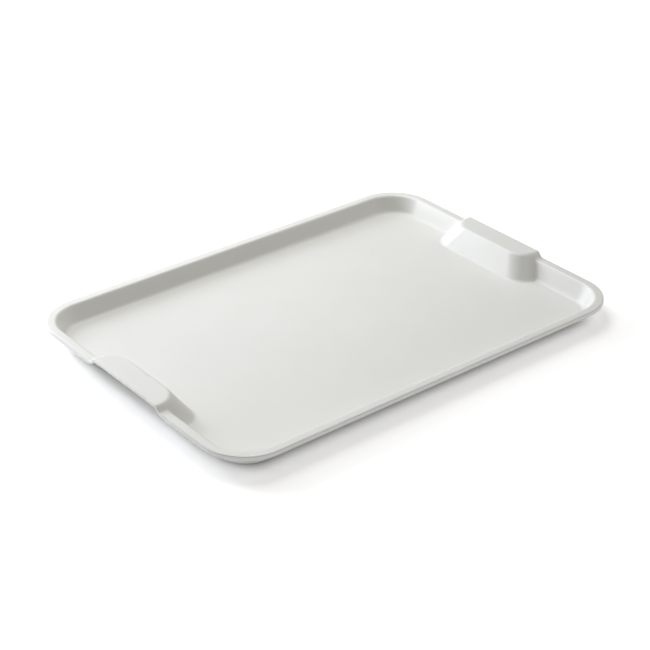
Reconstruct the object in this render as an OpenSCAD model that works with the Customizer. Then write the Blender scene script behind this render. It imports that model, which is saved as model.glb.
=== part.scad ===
// Flat serving tray: a one-piece moulded shell with a carrying grip raised at each short end,
// standing on four anti-slip feet.
// Origin: centre of the footprint, on the surface that the tray stands on.
// X runs along the tray, through both grips, Y across it, Z up. Millimetres.

/* [Tray] */
// Overall length, over the rim
tray_length = 450; // [400:5:500]
// Overall width, over the rim
tray_width = 320; // [280:5:360]
// Radius of the outer corners, seen from above
corner_radius = 44; // [40:1:50]
// Depth of the inside, from the rim's top to the floor
inside_depth = 16; // [14:0.5:20]
// Thickness of the moulding
thickness = 2.5; // [2:0.1:2.9]

/* [Rim and wall] */
// Width of the flat rim
rim_width = 8.8; // [8:0.1:11]
// Height of the rim's outer edge, with its turned-down lip
lip_height = 4.3; // [3.8:0.1:6]
// Thickness of the turned-down lip
lip_thickness = 2.2; // [1.6:0.1:2.6]
// Radius of the rim's outer top edge
edge_radius = 1; // [0.5:0.1:1.2]
// Slope of the wall, from horizontal
wall_angle = 62; // [54:1:70]
// Radius where the rim turns down into the wall
rim_bend_radius = 3.2; // [3:0.1:4]
// Radius where the wall runs out into the floor
floor_bend_radius = 5; // [4:0.5:8]

/* [Grips] */
// Length of the flat part of a grip's top, along the short side
grip_flat_length = 94; // [82:1:102]
// Reach of the flat part of a grip's top, inwards from the rim's outer edge
grip_flat_depth = 21.8; // [20:0.2:24]
// Height of a grip's top above the rim
grip_rise = 5; // [3:0.5:8]
// Radius of a grip's two inner corners, seen from above
grip_corner_radius = 20; // [10:0.5:20]
// Radius where a grip's top turns down into its inner face
grip_face_radius = 3; // [2.9:0.1:6]
// Radius where a grip's top turns down into its two ends
grip_end_radius = 5; // [3:0.5:10]
// Slope of a grip's inner face and ends, from horizontal
grip_angle = 57; // [50:1:64]

/* [Feet] */
// Diameter of an anti-slip foot
foot_diameter = 12; // [10:0.5:16]
// Height of a foot below the tray's underside
foot_height = 1.5; // [1:0.1:2.5]
// Depth of the round pocket that holds a foot
pocket_depth = 0.8; // [0.5:0.1:1]
// Gap round a foot in its pocket
pocket_gap = 0.2; // [0.1:0.05:0.3]
// Distance of a foot's centre from the long and the short edges
foot_inset = 58; // [50:1:70]

/* [Hidden] */

// Heights above the surface that the tray stands on
underside_z = foot_height;
floor_z = underside_z + thickness;
rim_z = floor_z + inside_depth;
grip_z = rim_z + grip_rise;

// Centres of the corner arcs
corner_x = tray_length / 2 - corner_radius;
corner_y = tray_width / 2 - corner_radius;

// The section's x is measured outwards from a corner arc's centre. The rim and the wall would
// meet in a sharp edge at rim_edge_x, and the wall and the floor at floor_edge_x.
rim_edge_x = corner_radius - rim_width;
floor_edge_x = rim_edge_x - inside_depth / tan(wall_angle);
rim_bend = [rim_edge_x + rim_bend_radius * tan(wall_angle / 2), rim_z - rim_bend_radius];
floor_bend = [floor_edge_x - floor_bend_radius * tan(wall_angle / 2), floor_z + floor_bend_radius];
lip_bottom_z = rim_z - lip_height;
edge_centre = [corner_radius - edge_radius, rim_z - edge_radius];

bend_steps = 6;
corner_steps = 8;
edge_steps = 6;
above_all_z = grip_z + 1;
below_all_z = -1;
$fn = 64;

function arc(centre, radius, from, to) =
    [for (i = [0:bend_steps])
        let (a = from + (to - from) * i / bend_steps)
        centre + radius * [cos(a), sin(a)]];

// The section's upper outline, from the lip's foot inwards to the floor
function upper_outline() = concat(
    [[corner_radius, lip_bottom_z]],
    arc(edge_centre, edge_radius, 0, 90),
    arc(rim_bend, rim_bend_radius, 90, 90 + wall_angle),
    arc(floor_bend, floor_bend_radius, wall_angle - 90, -90),
    [[0, floor_z]]);

// The section's lower outline, one thickness below, from the floor outwards to the lip
function lower_outline() = concat(
    [[0, underside_z]],
    arc(floor_bend, floor_bend_radius + thickness, -90, wall_angle - 90),
    [[rim_bend.x - (rim_bend_radius - thickness) * sin(wall_angle), rim_z - thickness]],
    [[corner_radius - lip_thickness, rim_z - thickness]],
    [[corner_radius - lip_thickness, lip_bottom_z]]);

module shell_section() {
    polygon(concat(upper_outline(), lower_outline()));
}

// Everything from the section's lower outline up
module above_underside_section() {
    polygon(concat(
        lower_outline(),
        [[corner_radius, lip_bottom_z], [corner_radius, above_all_z], [0, above_all_z]]));
}

// Sweeps a section along one straight side, on the side of +X
module run_along_side(length) {
    rotate([90, 0, 0])
        linear_extrude(length, center = true)
            children();
}

module at_both_ends() {
    for (turn = [0, 180])
        rotate([0, 0, turn])
            children();
}

// The tray without its grips: floor, walls, rim and lip
module plain_tray() {
    at_both_ends() {
        translate([corner_x, 0, 0])
            run_along_side(2 * corner_y)
                shell_section();
        rotate([0, 0, 90])
            translate([corner_y, 0, 0])
                run_along_side(2 * corner_x)
                    shell_section();
    }
    for (sx = [0, 1], sy = [0, 1])
        mirror([sx, 0, 0])
            mirror([0, sy, 0])
                translate([corner_x, corner_y, 0])
                    rotate_extrude(angle = 90)
                        shell_section();
    translate([-corner_x, -corner_y, underside_z])
        cube([2 * corner_x, 2 * corner_y, thickness]);
}

// A grip's outline at one height: a rectangle with round corners, centred on the rim's outer edge
function grip_outline(half_x, half_y, corner_r, z) =
    [for (corner = [0:3], i = [0:corner_steps])
        let (
            turn = 90 * (corner + i / corner_steps),
            side_x = (corner == 0 || corner == 3) ? 1 : -1,
            side_y = corner < 2 ? 1 : -1)
        [side_x * (half_x - corner_r) + corner_r * cos(turn),
         side_y * (half_y - corner_r) + corner_r * sin(turn),
         z]];

// How far a face has run outwards at a drop below the flat top: a round edge, then the slope
function face_run(drop, radius) =
    let (arc_drop = radius * (1 - cos(grip_angle)))
    drop < arc_drop
        ? sqrt(radius * radius - (radius - drop) * (radius - drop))
        : radius * sin(grip_angle) + (drop - arc_drop) / tan(grip_angle);

// A block with round top edges and sloped sides, centred on the rim's outer edge at the +X end.
// Its faces lie the given distance inside the grip's own, and it runs down past the underside.
module grip_form(inside_by) {
    face_r = grip_face_radius - inside_by;
    end_r = grip_end_radius - inside_by;
    top_z = grip_z - inside_by;
    arc_drops = [for (i = [0:edge_steps]) end_r * (1 - cos(grip_angle * i / edge_steps))];
    drops = concat(arc_drops, [top_z - below_all_z]);
    ring_size = 4 * (corner_steps + 1);
    last_ring = len(drops) - 1;
    points = [for (drop = drops)
        each grip_outline(
            grip_flat_depth + face_run(drop, face_r),
            grip_flat_length / 2 + face_run(drop, end_r),
            grip_corner_radius - inside_by,
            top_z - drop)];
    top_face = [for (i = [0:ring_size - 1]) ring_size - 1 - i];
    bottom_face = [for (i = [0:ring_size - 1]) last_ring * ring_size + i];
    side_faces = [for (ring = [0:last_ring - 1], i = [0:ring_size - 1])
        let (
            next = (i + 1) % ring_size,
            upper = ring * ring_size,
            lower = upper + ring_size)
        [upper + i, upper + next, lower + next, lower + i]];
    translate([tray_length / 2, 0, 0])
        polyhedron(points, concat([top_face], side_faces, [bottom_face]));
}

// A grip's solid block, cut off at the tray's own outside
module grip_block() {
    intersection() {
        grip_form(0);
        translate([corner_x, 0, 0])
            run_along_side(2 * corner_y)
                above_underside_section();
    }
}

module at_foot(sx, sy) {
    translate([sx * (tray_length / 2 - foot_inset), sy * (tray_width / 2 - foot_inset), 0])
        children();
}

// The moulding, with both grips hollow underneath and open to the outside for the fingers
module tray_shell() {
    color("#E3E3DE")
        difference() {
            union() {
                plain_tray();
                at_both_ends()
                    grip_block();
            }
            at_both_ends()
                grip_form(thickness);
            for (sx = [-1, 1], sy = [-1, 1])
                at_foot(sx, sy)
                    translate([0, 0, below_all_z])
                        cylinder(
                            h = underside_z + pocket_depth - below_all_z,
                            d = foot_diameter + 2 * pocket_gap);
        }
}

// A rubber disc with a bevelled lower edge, bonded into its pocket
module foot() {
    bevel = foot_height / 3;
    color("#A9AAA6")
        rotate_extrude()
            polygon([
                [0, 0],
                [foot_diameter / 2 - bevel, 0],
                [foot_diameter / 2, bevel],
                [foot_diameter / 2, foot_height + pocket_depth],
                [0, foot_height + pocket_depth]]);
}

module foot_front_left() at_foot(-1, -1) foot();
module foot_front_right() at_foot(1, -1) foot();
module foot_rear_left() at_foot(-1, 1) foot();
module foot_rear_right() at_foot(1, 1) foot();

tray_shell();
foot_front_left();
foot_front_right();
foot_rear_left();
foot_rear_right();
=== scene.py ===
"""Looks of the flat serving tray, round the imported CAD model. Z is up, X runs through the grips."""
import math

import bmesh
import bpy
import numpy as np
from mathutils import Matrix, Vector


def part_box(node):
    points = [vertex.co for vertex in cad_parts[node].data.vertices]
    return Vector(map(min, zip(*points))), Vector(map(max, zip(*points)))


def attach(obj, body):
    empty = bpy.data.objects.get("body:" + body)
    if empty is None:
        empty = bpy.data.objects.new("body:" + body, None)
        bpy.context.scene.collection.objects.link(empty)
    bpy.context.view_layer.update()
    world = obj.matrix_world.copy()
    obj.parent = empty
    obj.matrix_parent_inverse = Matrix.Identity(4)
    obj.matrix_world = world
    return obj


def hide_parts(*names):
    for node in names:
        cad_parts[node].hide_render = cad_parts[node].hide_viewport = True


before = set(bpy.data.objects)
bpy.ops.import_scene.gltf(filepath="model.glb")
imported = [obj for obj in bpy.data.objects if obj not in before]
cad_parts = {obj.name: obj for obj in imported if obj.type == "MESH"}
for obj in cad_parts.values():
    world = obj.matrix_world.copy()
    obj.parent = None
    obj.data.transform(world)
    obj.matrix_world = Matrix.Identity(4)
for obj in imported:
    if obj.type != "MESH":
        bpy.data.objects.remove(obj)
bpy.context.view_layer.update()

MM = 0.001

# ---------------------------------------------------------------- sizes of the moulding, in mm
shell_low, shell_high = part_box("tray_shell")
HALF_LENGTH = (shell_high[0] - shell_low[0]) / 2 / MM
HALF_WIDTH = (shell_high[1] - shell_low[1]) / 2 / MM
UNDERSIDE_Z = shell_low[2] / MM
GRIP_Z = shell_high[2] / MM

CORNER_RADIUS = 44.0
THICKNESS = 2.5
GRIP_RISE = 5.0
RIM_Z = GRIP_Z - GRIP_RISE
FLOOR_Z = UNDERSIDE_Z + THICKNESS
DEPTH = RIM_Z - FLOOR_Z

RIM_WIDTH = 8.8
RIM_BEND = 3.2
FLOOR_BEND = 5.0
WALL_SLOPE = math.radians(62)

# A grip's flat top, and the round edges and slopes that run down from it
GRIP_FLAT_REACH = 21.8
GRIP_FLAT_HALF = 47.0
GRIP_CORNER = 20.0
GRIP_FACE_RADIUS = 3.0
GRIP_END_RADIUS = 5.0
GRIP_SLOPE = math.radians(57)
GRIP_BLEND = 2.6  # height over which a grip's faces blend into the floor, wall and rim

# The rim's outer edge, with its turned-down lip
LIP_WIDTH = 2.2
LIP_HEIGHT = 4.3
LIP_HEIGHT_AT_GRIP = 2.9
LIP_GROWS_FROM = 52.0  # from the middle of a short side, where the lip leaves the grip
LIP_GROWS_TO = 62.0
LIP_FOOT_RADIUS = 0.6
INNER_ROUND_SHARE = 0.45  # of the lip's inner height, the most that each round there takes
EDGE_RADIUS = 1.0

# The distances inside the outline at which the section changes
RIM_END = RIM_WIDTH - RIM_BEND * math.tan(WALL_SLOPE / 2)
WALL_START = RIM_END + RIM_BEND * math.sin(WALL_SLOPE)
FLOOR_START = RIM_WIDTH + DEPTH / math.tan(WALL_SLOPE) + FLOOR_BEND * math.tan(WALL_SLOPE / 2)
WALL_END = FLOOR_START - FLOOR_BEND * math.sin(WALL_SLOPE)

# ---------------------------------------------------------------- heights of the upper surface
HALVINGS = 44        # of the range in which a grip's height is searched for
NORMAL_STEP = 0.02   # between the heights that give the surface's slope


def edge_distance(x, y):
    """How far a point lies inside the tray's outline."""
    u = np.abs(x) - (HALF_LENGTH - CORNER_RADIUS)
    v = np.abs(y) - (HALF_WIDTH - CORNER_RADIUS)
    outside = np.hypot(np.maximum(u, 0), np.maximum(v, 0))
    return CORNER_RADIUS - outside - np.minimum(np.maximum(u, v), 0)


def wall_height(inside):
    """Rim, bend, wall, bend and floor, as heights at a distance inside the outline."""
    rim_arc = RIM_Z - RIM_BEND + np.sqrt(np.maximum(RIM_BEND ** 2 - (inside - RIM_END) ** 2, 0))
    floor_arc = FLOOR_Z + FLOOR_BEND - np.sqrt(
        np.maximum(FLOOR_BEND ** 2 - (FLOOR_START - inside) ** 2, 0))
    straight = RIM_Z - (inside - RIM_WIDTH) * math.tan(WALL_SLOPE)
    return np.select(
        [inside <= RIM_END, inside <= WALL_START, inside <= WALL_END, inside <= FLOOR_START],
        [np.full_like(inside, RIM_Z), rim_arc, straight, floor_arc],
        FLOOR_Z)


def face_run(drop, radius):
    """How far a grip's face has run outwards at a drop below the top: an arc, then a slope."""
    arc_drop = radius * (1 - math.cos(GRIP_SLOPE))
    arc = np.sqrt(np.maximum(radius ** 2 - (radius - drop) ** 2, 0))
    slope = radius * math.sin(GRIP_SLOPE) + (drop - arc_drop) / math.tan(GRIP_SLOPE)
    return np.where(drop < arc_drop, arc, slope)


def grip_height(x, y):
    """The raised block of a grip, whose outline at each drop is a rectangle with round corners.

    The drop at which the outline reaches a point is searched for by halving."""
    reach = np.abs(HALF_LENGTH - np.abs(x))
    along = np.abs(y)
    low = np.zeros_like(reach)
    high = np.full_like(reach, 2 * GRIP_Z + HALF_LENGTH)
    for _ in range(HALVINGS):
        drop = (low + high) / 2
        u = reach - (GRIP_FLAT_REACH + face_run(drop, GRIP_FACE_RADIUS) - GRIP_CORNER)
        v = along - (GRIP_FLAT_HALF + face_run(drop, GRIP_END_RADIUS) - GRIP_CORNER)
        distance = np.hypot(np.maximum(u, 0), np.maximum(v, 0)) + np.minimum(np.maximum(u, v), 0)
        outside = distance > GRIP_CORNER
        low = np.where(outside, drop, low)
        high = np.where(outside, high, drop)
    return GRIP_Z - high


def top_height(x, y):
    """The wall and the grips, blended where they meet by a soft maximum."""
    wall = wall_height(edge_distance(x, y))
    grip = grip_height(x, y)
    share = np.clip(0.5 + 0.5 * (wall - grip) / GRIP_BLEND, 0, 1)
    return grip + (wall - grip) * share + GRIP_BLEND * share * (1 - share)


def top_normal(x, y):
    """The direction square to the upper surface."""
    step = NORMAL_STEP
    dx = (top_height(x + step, y) - top_height(x - step, y)) / (2 * step)
    dy = (top_height(x, y + step) - top_height(x, y - step)) / (2 * step)
    n = np.stack([-dx, -dy, np.ones_like(dx)], -1)
    return n / np.linalg.norm(n, axis=-1, keepdims=True)


# ---------------------------------------------------------------- loops that sample the surface
# Loops run round the tray, parallel to its outline near the edge. Further in they turn gradually
# into a rectangle, which a plain grid fills. Each has the same number of points.
ARC_STEPS = 14       # on half of a corner
RING_INSIDE = 60.0   # the rectangle lies this far inside the outline
OFFSET_INSIDE = 26.0  # and the loops run parallel to the outline up to here
FINE_INSIDE = 42.0   # the loops lie closer together from here outwards
COARSE_STEPS = 6
FINE_STEPS = 30
BEND_STEPS = 6
WALL_STEPS = 4
ROUND_STEPS = 4      # on each small round of the lip
RIM_LOOPS = (5.0, 3.6, 2.2)          # distances inside the outline, on the flat rim
EDGE_LOOP_SHARES = (0.12, 0.5, 0.88)  # places on the flat of the lip's outer face
HELD_SHORT = 70.0    # points keep their place on the loops this far from the middle of a side
HELD_LONG = 110.0
FINE_GRIP_FROM = 22.0  # along a short side, points lie close together between these two places
FINE_GRIP_TO = 66.0


def spaced(stops):
    """Positions from stops of (end, spacing), starting at 0, mirrored to both signs."""
    at = [0.0]
    for end, spacing in stops:
        count = max(1, round((end - at[-1]) / spacing))
        at += list(np.linspace(at[-1], end, count + 1)[1:])
    return np.array([-p for p in reversed(at[1:])] + at)


def stretch_tail(p, keep, old_end, new_end):
    """Positions up to keep stay. Beyond it, they spread evenly to a new end."""
    tail = keep + (np.abs(p) - keep) * (new_end - keep) / (old_end - keep)
    return np.where(np.abs(p) <= keep, p, np.sign(p) * tail)


def rectangle_points(straight, keep, half_along):
    """A side of the rectangle: as the straight stretch up to keep, then evenly to the corner."""
    held = [p for p in straight if abs(p) <= keep]
    count = (len(straight) - len(held)) // 2 + ARC_STEPS
    tail = np.linspace(held[-1], half_along - RING_INSIDE, count + 1)[1:]
    return np.array([-p for p in reversed(tail)] + held + list(tail))


short_straight = spaced(
    [(FINE_GRIP_FROM, 4.0), (FINE_GRIP_TO, 1.2), (HALF_WIDTH - CORNER_RADIUS, 4.4)])
long_straight = spaced([(HALF_LENGTH - CORNER_RADIUS, 8.0)])
grid_y = rectangle_points(short_straight, HELD_SHORT, HALF_WIDTH)
grid_x = rectangle_points(long_straight, HELD_LONG, HALF_LENGTH)


def side_points(straight, even, keep, half_across, half_along, inside):
    """One side of the loop at a distance inside, as (across, along), from corner to corner."""
    radius = max(CORNER_RADIUS - inside, 0)
    centre_across = half_across - max(CORNER_RADIUS, inside)
    centre_along = half_along - max(CORNER_RADIUS, inside)
    turn = np.linspace(math.pi / 4, 0, ARC_STEPS + 1)[:-1]
    arc_across = centre_across + radius * np.cos(turn)
    arc_along = centre_along + radius * np.sin(turn)
    held = stretch_tail(straight, keep, half_along - CORNER_RADIUS, centre_along)
    side_across = np.full(len(held), half_across - inside)
    across = np.concatenate([arc_across, side_across, arc_across[::-1]])
    along = np.concatenate([-arc_along, held, arc_along[::-1]])
    even = stretch_tail(even, keep, half_along - RING_INSIDE, half_along - inside)
    ease = np.clip((inside - OFFSET_INSIDE) / (RING_INSIDE - OFFSET_INSIDE), 0, 1)
    ease = ease * ease * (3 - 2 * ease)
    return (1 - ease) * across + ease * (half_across - inside), (1 - ease) * along + ease * even


def loop(inside):
    """A whole loop counter-clockwise from the front right corner, as (x, y)."""
    short = side_points(short_straight, grid_y, HELD_SHORT, HALF_LENGTH, HALF_WIDTH, inside)
    long = side_points(long_straight, grid_x, HELD_LONG, HALF_WIDTH, HALF_LENGTH, inside)
    out, along = (p[:-1] for p in short)
    back, run = (p[:-1] for p in long)
    x = np.concatenate([out, -run, -out, run])
    y = np.concatenate([along, back, -along, -back])
    return x, y


def layer(inside, depth):
    """A loop's points at a depth below the upper surface, square to it."""
    x, y = loop(inside)
    top = np.stack([x, y, top_height(x, y)], -1)
    return top - np.reshape(depth, (-1, 1)) * top_normal(x, y)


# ---------------------------------------------------------------- the moulding
WELD_WITHIN = 0.001  # points of the loops and the grids that meet become one
SHARP_FROM = math.radians(40)


def arc_steps(start, end, count):
    """Angles in radians, evenly between two in degrees."""
    return np.linspace(math.radians(start), math.radians(end), count + 1)


def section_distances():
    """The distances inside the outline of the upper surface's loops, from the middle outwards."""
    slope = math.degrees(WALL_SLOPE)
    return np.concatenate([
        np.linspace(RING_INSIDE, FINE_INSIDE, COARSE_STEPS + 1)[:-1],
        np.linspace(FINE_INSIDE, FLOOR_START, FINE_STEPS + 1)[:-1],
        FLOOR_START - FLOOR_BEND * np.sin(arc_steps(0, slope, BEND_STEPS)),
        np.linspace(WALL_END, WALL_START, WALL_STEPS + 1)[1:-1],
        RIM_END + RIM_BEND * np.sin(arc_steps(slope, 0, BEND_STEPS)),
        [*RIM_LOOPS, EDGE_RADIUS]])


def lip_height():
    """The edge's height at each point of a loop: low on the grips, full on the rim."""
    x, y = loop(0)
    share = np.clip((np.abs(y) - LIP_GROWS_FROM) / (LIP_GROWS_TO - LIP_GROWS_FROM), 0, 1)
    return LIP_HEIGHT_AT_GRIP + (LIP_HEIGHT - LIP_HEIGHT_AT_GRIP) * share ** 2 * (3 - 2 * share)


def edge_section():
    """The rim's outer edge as (inside, depth): over the edge, down, under the lip, up inside it."""
    height = lip_height()
    inner_radius = np.minimum(LIP_FOOT_RADIUS, INNER_ROUND_SHARE * (height - THICKNESS))
    corner = float(inner_radius.max())
    turn = arc_steps(0, 90, ROUND_STEPS)
    section = [(EDGE_RADIUS * (1 - math.sin(a)),
                np.full_like(height, EDGE_RADIUS * (1 - math.cos(a))))
               for a in arc_steps(0, 90, BEND_STEPS)[1:]]
    section += [(0.0, EDGE_RADIUS + share * (height - LIP_FOOT_RADIUS - EDGE_RADIUS))
                for share in EDGE_LOOP_SHARES]
    section += [(LIP_FOOT_RADIUS * (1 - math.cos(a)),
                 height - LIP_FOOT_RADIUS * (1 - math.sin(a)))
                for a in turn]
    section += [(LIP_WIDTH - corner * (1 - math.sin(a)),
                 height - inner_radius * (1 - math.cos(a)))
                for a in turn]
    section += [(LIP_WIDTH + corner * (1 - math.cos(a)),
                 THICKNESS + inner_radius * (1 - math.sin(a)))
                for a in turn]
    return section


def flat_cap(z, upwards):
    """The grid that fills the rectangle in the middle, as points and faces."""
    x, y = np.meshgrid(grid_x, grid_y, indexing="ij")
    points = np.stack([x, y, np.full_like(x, z)], -1).reshape(-1, 3)
    index = np.arange(len(points)).reshape(x.shape)
    corners = [index[:-1, :-1], index[1:, :-1], index[1:, 1:], index[:-1, 1:]]
    faces = np.stack(corners, -1).reshape(-1, 4)
    return points, faces if upwards else faces[:, ::-1]


def moulding_mesh():
    """The closed shell: upper loops, round the edge, and back along the underside."""
    distances = section_distances()
    layers = [layer(d, 0.0) for d in distances]
    layers += [layer(inside, depth) for inside, depth in edge_section()]
    under = distances[::-1]
    layers += [layer(d, THICKNESS) for d in under[under > LIP_WIDTH + 2 * LIP_FOOT_RADIUS]]
    size = len(layers[0])
    inner = (np.arange(len(layers) - 1) * size)[:, None] + np.arange(size)[None, :]
    inner_next = np.roll(inner, -1, axis=1)
    ring = np.stack([inner, inner + size, inner_next + size, inner_next], -1).reshape(-1, 4)
    top_points, top_faces = flat_cap(FLOOR_Z, True)
    low_points, low_faces = flat_cap(UNDERSIDE_Z, False)
    points = np.concatenate(layers + [top_points, low_points])
    start = size * len(layers)
    faces = np.concatenate([ring, top_faces + start, low_faces + start + len(top_points)])
    mesh = bpy.data.meshes.new("tray_moulding")
    mesh.from_pydata((points * MM).tolist(), [], faces.tolist())
    shell = bmesh.new()
    shell.from_mesh(mesh)
    bmesh.ops.remove_doubles(shell, verts=shell.verts, dist=WELD_WITHIN * MM)
    shell.to_mesh(mesh)
    shell.free()
    return mesh


def add_object(name, mesh):
    piece = bpy.data.objects.new(name, mesh)
    bpy.context.scene.collection.objects.link(piece)
    return piece


def smooth(piece):
    """Smooth shading, with sharp edges where two faces meet at a steep angle."""
    piece.data.shade_smooth()
    piece.data.set_sharp_from_angle(angle=SHARP_FROM)


# ---------------------------------------------------------------- round pieces, turned about Z
TURN_STEPS = 96


def turned_mesh(name, profile, centre):
    """A closed solid from a profile of (radius, z), from its lowest middle to its highest."""
    turn = np.arange(TURN_STEPS) * 2 * math.pi / TURN_STEPS
    rings = [np.stack([centre[0] + r * np.cos(turn),
                       centre[1] + r * np.sin(turn),
                       np.full(TURN_STEPS, z)], -1)
             for r, z in profile[1:-1]]
    lowest = [(centre[0], centre[1], profile[0][1])]
    highest = [(centre[0], centre[1], profile[-1][1])]
    points = np.concatenate([lowest] + rings + [highest])
    last = len(points) - 1
    faces = []
    for i in range(TURN_STEPS):
        j = (i + 1) % TURN_STEPS
        faces.append([0, 1 + j, 1 + i])
        faces.append([last, last - TURN_STEPS + i, last - TURN_STEPS + j])
        for k in range(len(rings) - 1):
            low = 1 + k * TURN_STEPS
            faces.append([low + i, low + j, low + j + TURN_STEPS, low + i + TURN_STEPS])
    mesh = bpy.data.meshes.new(name)
    mesh.from_pydata((points * MM).tolist(), [], faces)
    return mesh


def rounded(corner, radius, start, end, steps=5):
    """Points on an arc of a profile about a centre, between two angles in degrees."""
    return [(corner[0] + radius * math.cos(a), corner[1] + radius * math.sin(a))
            for a in arc_steps(start, end, steps)]


# ---------------------------------------------------------------- materials
# Most of a noise's values lie between these
NOISE_LOW = 0.3
NOISE_HIGH = 0.7
CLOUD_SIZE = 45.0  # of the slight differences in colour, in mm
GLOSS_SIZE = 12.0  # of the slight differences in gloss, in mm


def texture_position(tree):
    """The place on a piece, which textures are laid by."""
    return tree.nodes.new("ShaderNodeTexCoord").outputs["Object"]


def noise(tree, position, size_mm, detail):
    node = tree.nodes.new("ShaderNodeTexNoise")
    node.inputs["Scale"].default_value = 1 / (size_mm * MM)
    node.inputs["Detail"].default_value = detail
    tree.links.new(position, node.inputs["Vector"])
    return node.outputs["Fac"]


def ranged(tree, value, low, high):
    """A noise's middle range, stretched to run from low to high."""
    node = tree.nodes.new("ShaderNodeMapRange")
    node.inputs["From Min"].default_value = NOISE_LOW
    node.inputs["From Max"].default_value = NOISE_HIGH
    node.inputs["To Min"].default_value = low
    node.inputs["To Max"].default_value = high
    tree.links.new(value, node.inputs["Value"])
    return node.outputs["Result"]


def tinted(tree, share, colour_low, colour_high):
    """A colour between two, by a share from 0 to 1."""
    node = tree.nodes.new("ShaderNodeMix")
    node.data_type = "RGBA"
    node.inputs["A"].default_value = (*colour_low, 1)
    node.inputs["B"].default_value = (*colour_high, 1)
    tree.links.new(share, node.inputs["Factor"])
    return node.outputs["Result"]


def bumped(tree, height, depth_mm, below=None):
    """The surface's direction with a relief, on top of another relief if one is given."""
    node = tree.nodes.new("ShaderNodeBump")
    node.inputs["Strength"].default_value = 1.0
    node.inputs["Distance"].default_value = depth_mm * MM
    tree.links.new(height, node.inputs["Height"])
    if below is not None:
        tree.links.new(below, node.inputs["Normal"])
    return node.outputs["Normal"]


def surface_material(name, colours, roughness, grain, waves, specular):
    """A moulded surface: slight colour clouds, uneven gloss, a fine grain and faint waves.

    The grain and the waves are each a (size, depth) in mm."""
    material = bpy.data.materials.new(name)
    material.use_nodes = True
    tree = material.node_tree
    shader = tree.nodes["Principled BSDF"]
    shader.inputs["Specular IOR Level"].default_value = specular
    position = texture_position(tree)
    clouds = ranged(tree, noise(tree, position, CLOUD_SIZE, detail=3.0), 0, 1)
    tree.links.new(tinted(tree, clouds, *colours), shader.inputs["Base Color"])
    gloss = ranged(tree, noise(tree, position, GLOSS_SIZE, detail=4.0), *roughness)
    tree.links.new(gloss, shader.inputs["Roughness"])
    (wave_size, wave_depth), (grain_size, grain_depth) = waves, grain
    wave_normal = bumped(tree, noise(tree, position, wave_size, detail=1.0), wave_depth)
    grain_normal = bumped(
        tree, noise(tree, position, grain_size, detail=2.0), grain_depth, wave_normal)
    tree.links.new(grain_normal, shader.inputs["Normal"])
    return material


shell_plastic = surface_material(
    "off_white_plastic",
    colours=((0.670, 0.671, 0.644), (0.682, 0.683, 0.659)),
    roughness=(0.36, 0.46),
    grain=(0.5, 0.006),
    waves=(28.0, 0.02),
    specular=0.5)

foot_rubber = surface_material(
    "grey_rubber",
    colours=((0.26, 0.26, 0.25), (0.31, 0.31, 0.30)),
    roughness=(0.62, 0.78),
    grain=(0.35, 0.02),
    waves=(3.0, 0.02),
    specular=0.35)

# ---------------------------------------------------------------- the pieces
FOOT_NODES = ("foot_front_left", "foot_front_right", "foot_rear_left", "foot_rear_right")
POCKET_GAP = 0.2
POCKET_MOUTH = 0.25  # how much wider a pocket's bevelled mouth is
BELOW_ALL_Z = -1.0
FOOT_EDGE = 0.7        # radius of a foot's lower edge
FOOT_GROOVE = 0.35     # radius of the ring groove
FOOT_RING_SHARE = 0.55  # of the foot's radius, to the middle of the groove
FOOT_DISH = 0.25       # depth of the dish in the middle
FOOT_DISH_SHARE = 0.22  # of the foot's radius, to the dish's edge
FOOT_BEVEL = 0.2       # of the upper edge, in the pocket


def foot_place(node):
    """A foot's centre, radius and height from its CAD solid, in mm."""
    low, high = (np.array(corner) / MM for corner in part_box(node))
    return (low + high)[:2] / 2, (high - low)[0] / 2, high[2]


def cut_pockets(shell):
    """Round pockets under the floor, one for each foot, with bevelled mouths."""
    for node in FOOT_NODES:
        centre, radius, top = foot_place(node)
        bore = radius + POCKET_GAP
        mouth = bore + POCKET_MOUTH
        profile = [(0, BELOW_ALL_Z), (mouth, BELOW_ALL_Z), (mouth, UNDERSIDE_Z),
                   (bore, UNDERSIDE_Z + POCKET_MOUTH), (bore, top), (0, top)]
        cutter = add_object("cutter", turned_mesh("cutter", profile, centre))
        cut = shell.modifiers.new("pocket", "BOOLEAN")
        cut.operation = "DIFFERENCE"
        cut.solver = "EXACT"
        cut.object = cutter
        with bpy.context.temp_override(object=shell, active_object=shell):
            bpy.ops.object.modifier_apply(modifier=cut.name)
        bpy.data.objects.remove(cutter, do_unlink=True)


def make_moulding():
    """The tray's shell, with its pockets."""
    shell = add_object("tray_moulding", moulding_mesh())
    cut_pockets(shell)
    smooth(shell)
    shell.data.materials.append(shell_plastic)
    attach(shell, "root")
    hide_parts("tray_shell")


def make_foot(node):
    """A rubber disc with a round lower edge, a ring groove and a dished middle."""
    centre, radius, top = foot_place(node)
    dish = FOOT_DISH_SHARE * radius
    ring = FOOT_RING_SHARE * radius
    profile = [(0, FOOT_DISH), (dish, FOOT_DISH)]
    profile += rounded((dish + FOOT_DISH, FOOT_DISH), FOOT_DISH, 180, 270)
    profile += [(ring - 2 * FOOT_GROOVE, 0)]
    profile += rounded((ring, 0), FOOT_GROOVE, 180, 0, 8)
    profile += [(ring + 2 * FOOT_GROOVE, 0)]
    profile += rounded((radius - FOOT_EDGE, FOOT_EDGE), FOOT_EDGE, -90, 0, 7)
    profile += [(radius, top - FOOT_BEVEL), (radius - FOOT_BEVEL, top), (0, top)]
    foot = add_object(node.replace("foot", "foot_pad"), turned_mesh(node, profile, centre))
    smooth(foot)
    foot.data.materials.append(foot_rubber)
    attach(foot, "root")
    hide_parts(node)


make_moulding()
for foot_node in FOOT_NODES:
    make_foot(foot_node)

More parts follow.
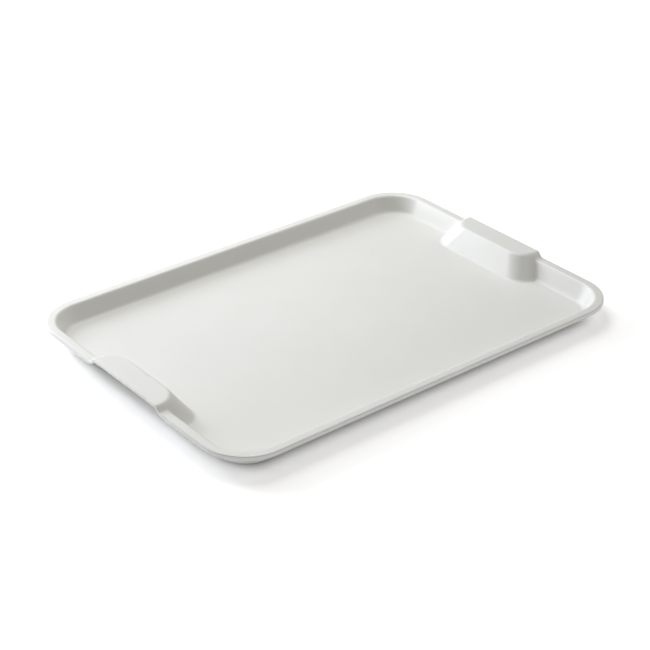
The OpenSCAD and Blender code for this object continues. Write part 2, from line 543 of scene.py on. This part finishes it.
# ---------------------------------------------------------------- floor, light and camera
FLOOR_HALF = 10.0  # in metres, as are the softboxes' and the camera's places
COOL = (0.96, 0.99, 1.06)
NEUTRAL = (1.0, 1.0, 1.0)
WARM = (1.02, 1.0, 0.94)
WORLD_STRENGTH = 0.15
SOFTBOX_SIZE = 0.6
SOFTBOX_DISTANCE = 0.9

# The paper glows with painted light, set by the distance from the tray's outline, so that its shadows
# stay light:
# hardly under the tray, more beside it, and most beyond the softboxes' reach
GLOW_COLOUR = (0.99, 0.995, 1.03)
UNDER_GLOW = 0.03
BESIDE_GLOW = 0.31
FAR_GLOW = 0.6
GLOW_STARTS = 18.0       # the glow starts to rise this far inside the short sides, in mm
SIDE_GLOW_STARTS = 24.0  # and this far inside the long sides, in mm
SIDE_GLOW_RATE = 0.5     # across the long sides, it changes this much slower
BESIDE_FROM = 4.0        # it reaches its strength beside the tray this far inside, in mm
FAR_STARTS = 20.0        # and rises again from this far outside, in mm
FAR_ENDS = 250.0         # to here, in mm
PAPER_ROUGHNESS = 0.9
PAPER_SPECULAR = 0.1
PAPER_CLOUD_SIZE = 400.0
PAPER_COLOURS = ((0.94, 0.94, 0.94), (0.955, 0.955, 0.955))

# The camera as fitted to the rim's outline in the photo
LOOK_AT = Vector((-0.02459, -0.02507, 0.020))
AZIMUTH = math.radians(-39.0)
ELEVATION = math.radians(29.72)
ROLL = math.radians(0.11)
DISTANCE = 1.533
LENS = 93.57
SENSOR = 36.0


def calculated(tree, operation, *values):
    """The result of a shader's calculation with sockets or numbers."""
    node = tree.nodes.new("ShaderNodeMath")
    node.operation = operation
    for socket, value in zip(node.inputs, values):
        if isinstance(value, (int, float)):
            socket.default_value = value
        else:
            tree.links.new(value, socket)
    return node.outputs["Value"]


def rising(tree, value, start, end, low, high):
    """A smooth rise from low to high as a value goes from start to end."""
    node = tree.nodes.new("ShaderNodeMapRange")
    node.interpolation_type = "SMOOTHSTEP"
    node.inputs["From Min"].default_value = start
    node.inputs["From Max"].default_value = end
    node.inputs["To Min"].default_value = low
    node.inputs["To Max"].default_value = high
    tree.links.new(value, node.inputs["Value"])
    return node.outputs["Result"]


def painted_paper_glow(tree):
    """The paper's painted glow, which lightens its shadows, by the distance outside the tray's
    outline.

    Across the long sides, the distance is stretched."""
    split = tree.nodes.new("ShaderNodeSeparateXYZ")
    tree.links.new(texture_position(tree), split.inputs["Vector"])
    along, across = (calculated(tree, "ABSOLUTE", split.outputs[axis]) for axis in "XY")
    u = calculated(tree, "SUBTRACT", along, (HALF_LENGTH - CORNER_RADIUS) * MM)
    slow = calculated(tree, "MULTIPLY", across, SIDE_GLOW_RATE)
    slow_start = SIDE_GLOW_RATE * (HALF_WIDTH - SIDE_GLOW_STARTS) + GLOW_STARTS
    v = calculated(tree, "SUBTRACT", slow, (slow_start - CORNER_RADIUS) * MM)
    squares = [calculated(tree, "POWER", calculated(tree, "MAXIMUM", side, 0), 2)
               for side in (u, v)]
    outer = calculated(tree, "SQRT", calculated(tree, "ADD", *squares))
    inner = calculated(tree, "MINIMUM", calculated(tree, "MAXIMUM", u, v), 0)
    outside = calculated(
        tree, "SUBTRACT", calculated(tree, "ADD", outer, inner), CORNER_RADIUS * MM)
    near = rising(tree, outside, -GLOW_STARTS * MM, -BESIDE_FROM * MM, UNDER_GLOW, BESIDE_GLOW)
    far = rising(tree, outside, FAR_STARTS * MM, FAR_ENDS * MM, 0, FAR_GLOW - BESIDE_GLOW)
    return calculated(tree, "ADD", near, far)


def make_floor():
    """The sheet of paper that the tray stands on."""
    mesh = bpy.data.meshes.new("studio_floor")
    s = FLOOR_HALF
    mesh.from_pydata([(-s, -s, 0), (s, -s, 0), (s, s, 0), (-s, s, 0)], [], [(0, 1, 2, 3)])
    floor = add_object("studio_floor", mesh)
    material = bpy.data.materials.new("studio_paper")
    material.use_nodes = True
    tree = material.node_tree
    shader = tree.nodes["Principled BSDF"]
    shader.inputs["Roughness"].default_value = PAPER_ROUGHNESS
    shader.inputs["Specular IOR Level"].default_value = PAPER_SPECULAR
    shader.inputs["Emission Color"].default_value = (*GLOW_COLOUR, 1)
    # painted light: the paper glows, dim under the tray and brighter beside and beyond it, to lighten
    # the shadows round it
    tree.links.new(painted_paper_glow(tree), shader.inputs["Emission Strength"])
    clouds = noise(tree, texture_position(tree), PAPER_CLOUD_SIZE, detail=2.0)
    colour = tinted(tree, ranged(tree, clouds, 0, 1), *PAPER_COLOURS)
    tree.links.new(colour, shader.inputs["Base Color"])
    mesh.materials.append(material)


def direction(azimuth, elevation):
    """The unit vector towards a place at an azimuth and elevation, where azimuth 0 is at -Y."""
    return Vector((
        math.sin(azimuth) * math.cos(elevation),
        -math.cos(azimuth) * math.cos(elevation),
        math.sin(elevation)))


def make_world(strength):
    """A soft light from all round, which itself looks white like the paper."""
    world = bpy.data.worlds.new("studio")
    world.use_nodes = True
    tree = world.node_tree
    background = tree.nodes["Background"]
    seen = tree.nodes.new("ShaderNodeLightPath").outputs["Is Camera Ray"]
    tree.links.new(tinted(tree, seen, WARM, (1, 1, 1)), background.inputs["Color"])
    tree.links.new(calculated(tree, "MAXIMUM", seen, strength), background.inputs["Strength"])
    bpy.context.scene.world = world


def add_sun(name, colour, azimuth, elevation, strength, angle):
    """An even light from one direction, as wide across as its angle in degrees."""
    light = bpy.data.lights.new(name, "SUN")
    light.color = colour
    light.energy = strength
    light.angle = math.radians(angle)
    sun = add_object(name, light)
    towards = direction(math.radians(azimuth), math.radians(elevation))
    sun.rotation_euler = towards.to_track_quat("Z", "Y").to_euler()


def add_softbox(name, colour, azimuth, elevation, power):
    """A square area light that faces the tray's middle."""
    light = bpy.data.lights.new(name, "AREA")
    light.shape = "SQUARE"
    light.size = SOFTBOX_SIZE
    light.color = colour
    light.energy = power
    box = add_object(name, light)
    towards = direction(math.radians(azimuth), math.radians(elevation))
    box.location = towards * SOFTBOX_DISTANCE
    box.rotation_euler = towards.to_track_quat("Z", "Y").to_euler()


def make_camera():
    """The camera, which looks at a place near the tray's middle."""
    data = bpy.data.cameras.new("camera")
    data.lens = LENS
    data.sensor_width = SENSOR
    camera = add_object("camera", data)
    towards = direction(AZIMUTH, ELEVATION)
    place = LOOK_AT + towards * DISTANCE
    turn = towards.to_track_quat("Z", "Y").to_matrix().to_4x4() @ Matrix.Rotation(ROLL, 4, "Z")
    camera.matrix_world = Matrix.Translation(place) @ turn
    bpy.context.scene.camera = camera


make_floor()
make_world(WORLD_STRENGTH)
add_softbox("key_softbox", COOL, azimuth=200, elevation=20, power=8.1)
add_softbox("back_softbox", NEUTRAL, azimuth=160, elevation=60, power=4.3)
add_sun("key_sun", COOL, azimuth=190, elevation=25, strength=0.42, angle=12)
add_sun("front_fill", WARM, azimuth=0, elevation=52, strength=0.34, angle=30)
add_sun("right_fill", WARM, azimuth=60, elevation=38, strength=0.42, angle=30)
add_sun("left_fill", WARM, azimuth=240, elevation=62, strength=0.22, angle=30)
make_camera()
bpy.context.scene.view_settings.view_transform = "Standard"
